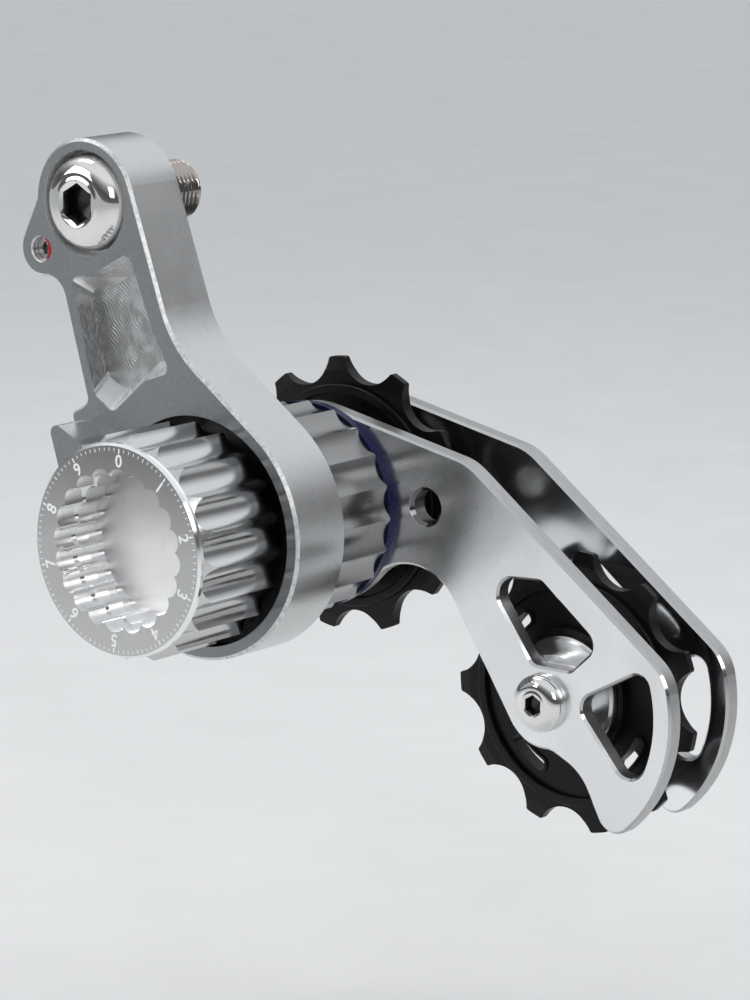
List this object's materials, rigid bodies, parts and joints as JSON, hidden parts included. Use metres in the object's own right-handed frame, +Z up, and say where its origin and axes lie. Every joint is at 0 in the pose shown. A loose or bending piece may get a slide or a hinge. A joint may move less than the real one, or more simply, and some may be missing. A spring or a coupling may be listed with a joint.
{
  "type": "chain tensioner",
  "caption": "Bicycle chain tensioner with a curved mounting arm, a fluted pivot housing, a fluted preload knob and a sprung two-plate cage that carries two toothed pulleys.",
  "frame": {"origin": "on the hanger bolt's axis at the back face of the arm, the face that seats on the frame's hanger", "axes": "+X forward along the bicycle, +Y inboard along the hanger bolt towards the wheel, +Z up"},
  "size_m": [0.1091, 0.0713, 0.1114],
  "materials": {
    "machined_aluminium": "satin machined",
    "polished_aluminium": "polished",
    "satin_dial": "satin turned",
    "plate_aluminium": "polished",
    "cap_aluminium": "polished",
    "polished_steel": "mirror polished",
    "dark_steel": "blackened",
    "spring_steel": "drawn wire",
    "axle_steel": "turned",
    "bearing_steel": "ground",
    "bronze_bush": "sintered",
    "polymer": "matte",
    "navy_seal": "satin",
    "shield_rubber": "matte",
    "pulley_black": "matte"
  },
  "bodies": {
    "bracket": {"bracket": "machined_aluminium", "hanger_bolt": "polished_steel", "angle_screw": "dark_steel", "rear_bush": "bronze_bush", "thrust_washer": "polymer", "seal_washer": "navy_seal", "knob_keeper": "spring_steel"},
    "knob": {"preload_knob": "polished_aluminium", "dial_ring": "satin_dial", "torsion_spring": "spring_steel"},
    "cage": {"pivot_axle": "axle_steel", "near_cage_plate": "plate_aluminium", "far_cage_plate": "plate_aluminium", "guide_bolt": "polished_steel", "tension_bolt": "polished_steel", "guide_cap_near": "cap_aluminium", "guide_cap_far": "cap_aluminium", "tension_cap_near": "cap_aluminium", "tension_cap_far": "cap_aluminium", "guide_bearing_inner": "bearing_steel", "tension_bearing_inner": "bearing_steel"},
    "guide_wheel": {"guide_pulley": "pulley_black", "guide_bearing_outer": "bearing_steel", "guide_bearing_balls": "bearing_steel", "guide_bearing_shields": "shield_rubber"},
    "tension_wheel": {"tension_pulley": "pulley_black", "tension_bearing_outer": "bearing_steel", "tension_bearing_balls": "bearing_steel", "tension_bearing_shields": "shield_rubber"}
  },
  "joints": [
    {"name": "preload_turn", "type": "hinge", "parent": "bracket", "child": "knob", "pos_m": [0.02333, -0.02, -0.05108], "axis": [0, 1, 0], "range_deg": [0, 90], "deforming": ["torsion_spring"]},
    {"name": "cage_swing", "type": "hinge", "parent": "bracket", "child": "cage", "pos_m": [0.02333, 0.02, -0.05108], "axis": [0, 1, 0], "range_deg": [0, 75], "stiffness_Nm_per_rad": 0.25, "springref_deg": -68.75, "deforming": ["torsion_spring"]},
    {"name": "guide_spin", "type": "hinge", "parent": "cage", "child": "guide_wheel", "pos_m": [0.02333, 0.0274, -0.05108], "axis": [0, 1, 0], "continuous": true},
    {"name": "tension_spin", "type": "hinge", "parent": "cage", "child": "tension_wheel", "pos_m": [0.07043, 0.0274, -0.07788], "axis": [0, 1, 0], "continuous": true}
  ]
}
